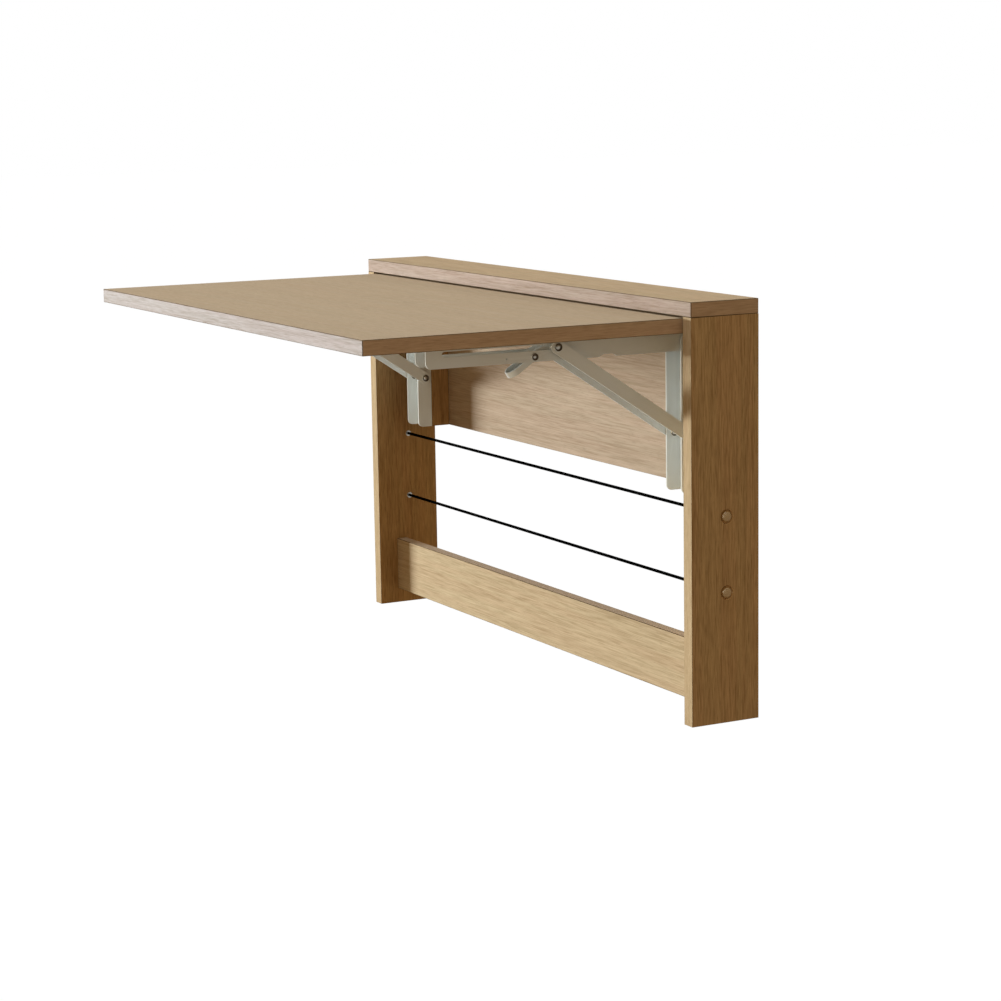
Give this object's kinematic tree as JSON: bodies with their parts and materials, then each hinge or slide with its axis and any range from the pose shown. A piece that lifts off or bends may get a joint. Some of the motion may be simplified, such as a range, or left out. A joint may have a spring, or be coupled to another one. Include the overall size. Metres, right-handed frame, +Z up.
{
  "type": "wall-mounted folding desk",
  "caption": "Shallow wooden wall frame whose tabletop folds down flush on two slotted steel brackets with struts and release levers; tie rods and a rail below.",
  "frame": {"origin": "middle of the four wall-fixing holes, in the wall plane at the back of the apron", "axes": "+Z up, +Y into the wall, +X to the right of someone who faces the desk"},
  "size_m": [0.886, 0.506, 0.508],
  "materials": {
    "frame_oak": "satin laminate with oak grain",
    "tabletop_oak": "satin laminate with oak grain",
    "block_wood": "satin",
    "dowel_wood": "plain",
    "rod_black": "satin black",
    "bracket_steel": "light grey powder coat",
    "spring_steel": "plain",
    "cap_beige": "smooth",
    "rivet_steel": "zinc plated",
    "zinc_hardware": "zinc plated"
  },
  "bodies": {
    "wall_frame": {"side_panel_left": "frame_oak", "side_panel_right": "frame_oak", "top_board": "frame_oak", "apron": "frame_oak", "lower_rail": "frame_oak", "bracket_block_left": "block_wood", "bracket_block_right": "block_wood", "top_board_dowels": "dowel_wood", "apron_dowels": "dowel_wood", "rail_dowels": "dowel_wood", "block_screws": "zinc_hardware", "wall_arm_screws": "zinc_hardware", "tie_rod_upper": "rod_black", "tie_rod_lower": "rod_black", "rod_nuts": "cap_beige", "rod_collars": "zinc_hardware", "wall_arm_left": "bracket_steel", "wall_arm_right": "bracket_steel", "corner_pin_left": "rivet_steel", "corner_pin_right": "rivet_steel", "corner_washers": "rivet_steel", "strut_foot_washers": "rivet_steel", "strut_foot_rivets": "rivet_steel"},
    "desk_top": {"tabletop": "tabletop_oak", "shelf_arm_left": "bracket_steel", "shelf_arm_right": "bracket_steel", "shelf_arm_screws": "zinc_hardware", "lever_pin_left": "rivet_steel", "lever_pin_right": "rivet_steel", "lever_spring_left": "spring_steel", "lever_spring_right": "spring_steel"},
    "strut_left": {"strut_bar_left_west": "bracket_steel", "strut_bar_left_east": "bracket_steel", "strut_head_rivets_left": "rivet_steel"},
    "slide_left": {"slide_studs_left": "rivet_steel"},
    "lever_left": {"release_lever_left": "bracket_steel"},
    "strut_right": {"strut_bar_right_west": "bracket_steel", "strut_bar_right_east": "bracket_steel", "strut_head_rivets_right": "rivet_steel"},
    "slide_right": {"slide_studs_right": "rivet_steel"},
    "lever_right": {"release_lever_right": "bracket_steel"}
  },
  "joints": [
    {"name": "desk_fold", "type": "hinge", "parent": "wall_frame", "child": "desk_top", "pos_m": [0, -0.0565, 0.07], "axis": [1, 0, 0], "range_deg": [0, 90]},
    {"name": "strut_turn_left", "type": "hinge", "parent": "wall_frame", "child": "strut_left", "pos_m": [-0.357, -0.0565, -0.039], "axis": [1, 0, 0], "range_deg": [0, 120.86]},
    {"name": "strut_slide_left", "type": "slide", "parent": "desk_top", "child": "slide_left", "axis": [0, -1, 0], "range_m": [0, 0.1441]},
    {"name": "release_lever_left", "type": "hinge", "parent": "desk_top", "child": "lever_left", "pos_m": [-0.357, -0.2637, 0.0688], "axis": [-1, 0, 0], "range_deg": [0, 20], "stiffness_Nm_per_rad": 0.15, "springref_deg": -22.92, "deforming": ["lever_spring_left"]},
    {"name": "strut_turn_right", "type": "hinge", "parent": "wall_frame", "child": "strut_right", "pos_m": [0.357, -0.0565, -0.039], "axis": [1, 0, 0], "range_deg": [0, 120.86]},
    {"name": "strut_slide_right", "type": "slide", "parent": "desk_top", "child": "slide_right", "axis": [0, -1, 0], "range_m": [0, 0.1441]},
    {"name": "release_lever_right", "type": "hinge", "parent": "desk_top", "child": "lever_right", "pos_m": [0.357, -0.2637, 0.0688], "axis": [-1, 0, 0], "range_deg": [0, 20], "stiffness_Nm_per_rad": 0.15, "springref_deg": -22.92, "deforming": ["lever_spring_right"]}
  ],
  "couplings": [
    {"joint": "strut_turn_left", "follows": "desk_fold", "ratio": 1.3428},
    {"joint": "strut_slide_left", "follows": "desk_fold", "m_per_rad": 0.0917},
    {"joint": "strut_turn_right", "follows": "desk_fold", "ratio": 1.3428},
    {"joint": "strut_slide_right", "follows": "desk_fold", "m_per_rad": 0.0917}
  ]
}
